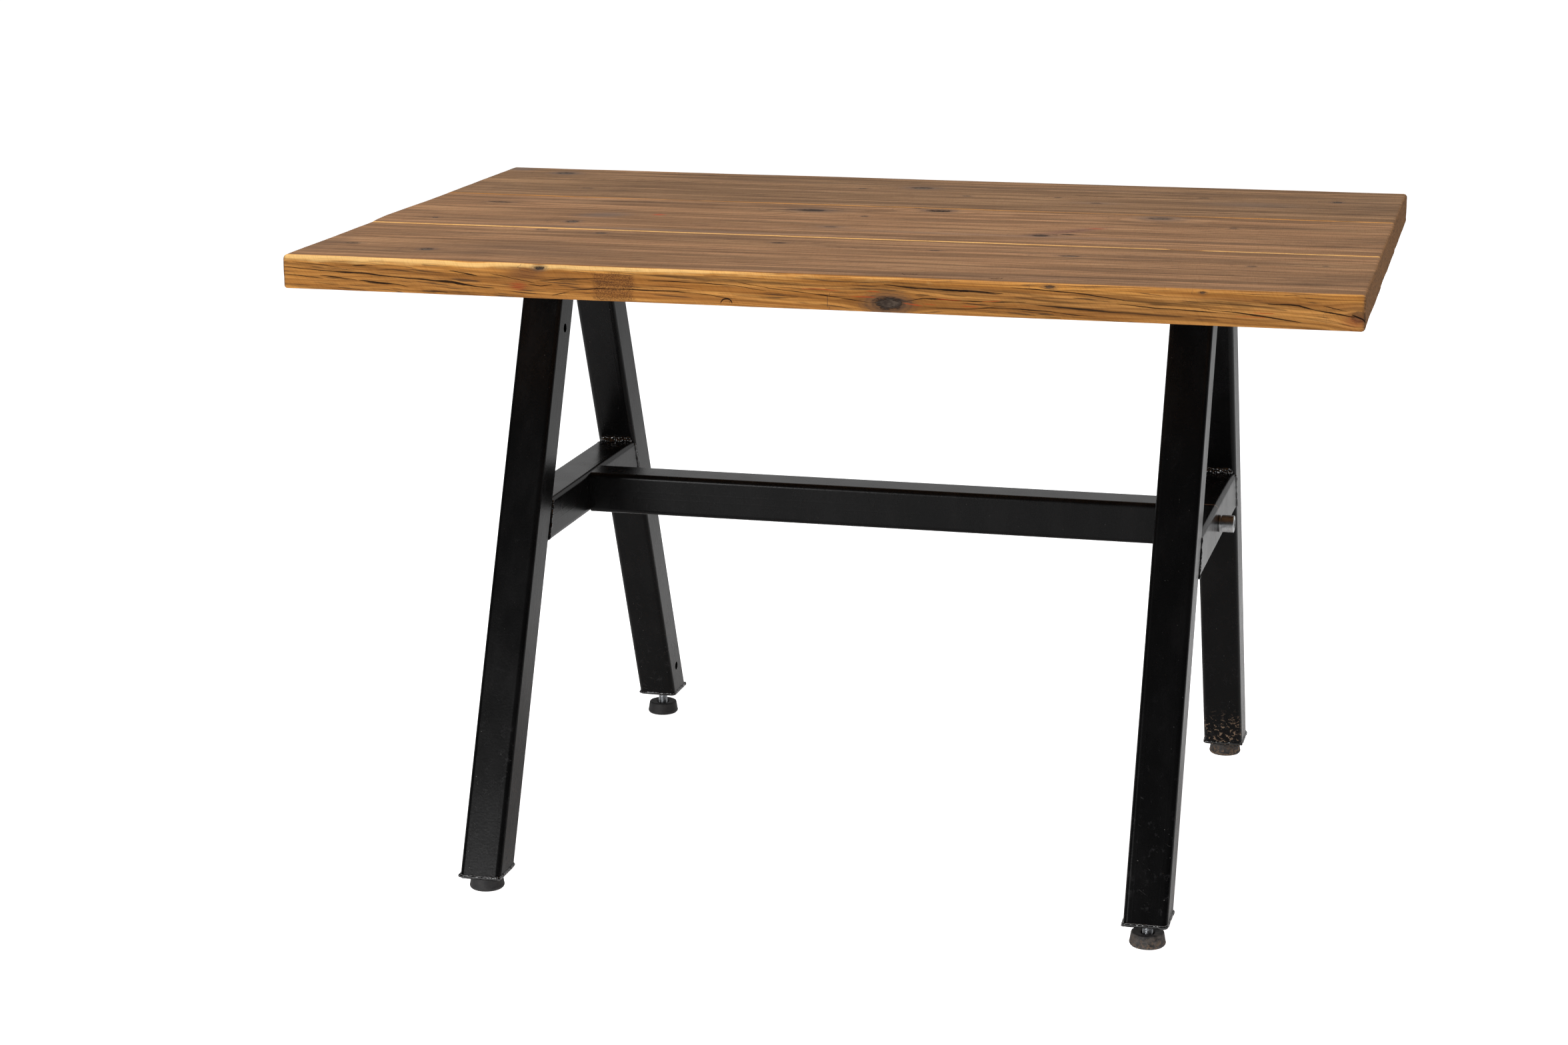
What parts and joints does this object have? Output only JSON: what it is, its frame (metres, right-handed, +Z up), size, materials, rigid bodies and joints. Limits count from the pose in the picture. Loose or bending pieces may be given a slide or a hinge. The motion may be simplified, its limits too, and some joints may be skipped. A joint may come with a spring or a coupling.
{
  "type": "table",
  "caption": "Fixed-height industrial table: a thick reclaimed-plank top on welded A-frames of black box section, joined by a bolted stretcher, on screw-in levelling feet.",
  "frame": {"origin": "on the floor under the centre of the top", "axes": "+X along the table's length towards its right end, +Y from front to back, +Z up"},
  "size_m": [1.212, 0.8, 0.75],
  "materials": {
    "reclaimed_wood": "oiled, worn",
    "dowel_wood": "plain beech",
    "black_steel": "satin black powder coat",
    "plain_steel": "bare",
    "zinc_steel": "bright zinc plate",
    "black_rubber": "matt, dusty"
  },
  "bodies": {
    "table": {"plank_front": "reclaimed_wood", "plank_middle": "reclaimed_wood", "plank_back": "reclaimed_wood", "dowels_front_joint": "dowel_wood", "dowels_back_joint": "dowel_wood", "mounting_bar_left": "black_steel", "mounting_bar_right": "black_steel", "bar_screws_left": "zinc_steel", "bar_screws_right": "zinc_steel", "leg_front_left": "black_steel", "leg_front_right": "black_steel", "leg_back_left": "black_steel", "leg_back_right": "black_steel", "cross_rail_left": "black_steel", "cross_rail_right": "black_steel", "rail_sleeve_left": "plain_steel", "rail_sleeve_right": "plain_steel", "stretcher": "black_steel", "stretcher_plug_left": "plain_steel", "stretcher_plug_right": "plain_steel", "bolt_collar_left": "zinc_steel", "bolt_collar_right": "zinc_steel", "stretcher_bolt_left": "zinc_steel", "stretcher_bolt_right": "zinc_steel", "end_plate_front_left": "black_steel", "end_plate_front_right": "black_steel", "end_plate_back_left": "black_steel", "end_plate_back_right": "black_steel", "weld_nut_front_left": "plain_steel", "weld_nut_front_right": "plain_steel", "weld_nut_back_left": "plain_steel", "weld_nut_back_right": "plain_steel"},
    "pad_front_left": {"foot_pad_front_left": "black_rubber"},
    "pad_front_right": {"foot_pad_front_right": "black_rubber"},
    "pad_back_left": {"foot_pad_back_left": "black_rubber"},
    "pad_back_right": {"foot_pad_back_right": "black_rubber"},
    "stud_front_left": {"foot_stud_front_left": "zinc_steel"},
    "stud_front_right": {"foot_stud_front_right": "zinc_steel"},
    "stud_back_left": {"foot_stud_back_left": "zinc_steel"},
    "stud_back_right": {"foot_stud_back_right": "zinc_steel"}
  },
  "joints": [
    {"name": "foot_front_left_height", "type": "slide", "parent": "table", "child": "pad_front_left", "axis": [0, 0, -1], "range_m": [-0.0015, 0.021]},
    {"name": "foot_front_right_height", "type": "slide", "parent": "table", "child": "pad_front_right", "axis": [0, 0, -1], "range_m": [-0.0125, 0.01]},
    {"name": "foot_back_left_height", "type": "slide", "parent": "table", "child": "pad_back_left", "axis": [0, 0, -1], "range_m": [-0.0155, 0.007]},
    {"name": "foot_back_right_height", "type": "slide", "parent": "table", "child": "pad_back_right", "axis": [0, 0, -1], "range_m": [-0.002, 0.0205]},
    {"name": "foot_front_left_turn", "type": "hinge", "parent": "pad_front_left", "child": "stud_front_left", "pos_m": [-0.3906, -0.36231, 0.01], "axis": [0, 0, -1], "range_deg": [-320, 4330]},
    {"name": "foot_front_right_turn", "type": "hinge", "parent": "pad_front_right", "child": "stud_front_right", "pos_m": [0.3906, -0.3577, 0.01], "axis": [0, 0, -1], "range_deg": [-2580, 2065]},
    {"name": "foot_back_left_turn", "type": "hinge", "parent": "pad_back_left", "child": "stud_back_left", "pos_m": [-0.3906, 0.35645, 0.01], "axis": [0, 0, -1], "range_deg": [-3200, 1450]},
    {"name": "foot_back_right_turn", "type": "hinge", "parent": "pad_back_right", "child": "stud_back_right", "pos_m": [0.3906, 0.3621, 0.01], "axis": [0, 0, -1], "range_deg": [-420, 4230]}
  ],
  "couplings": [
    {"joint": "foot_front_left_turn", "follows": "foot_front_left_height", "rad_per_m": 3590.4},
    {"joint": "foot_front_right_turn", "follows": "foot_front_right_height", "rad_per_m": 3590.4},
    {"joint": "foot_back_left_turn", "follows": "foot_back_left_height", "rad_per_m": 3590.4},
    {"joint": "foot_back_right_turn", "follows": "foot_back_right_height", "rad_per_m": 3590.4}
  ]
}
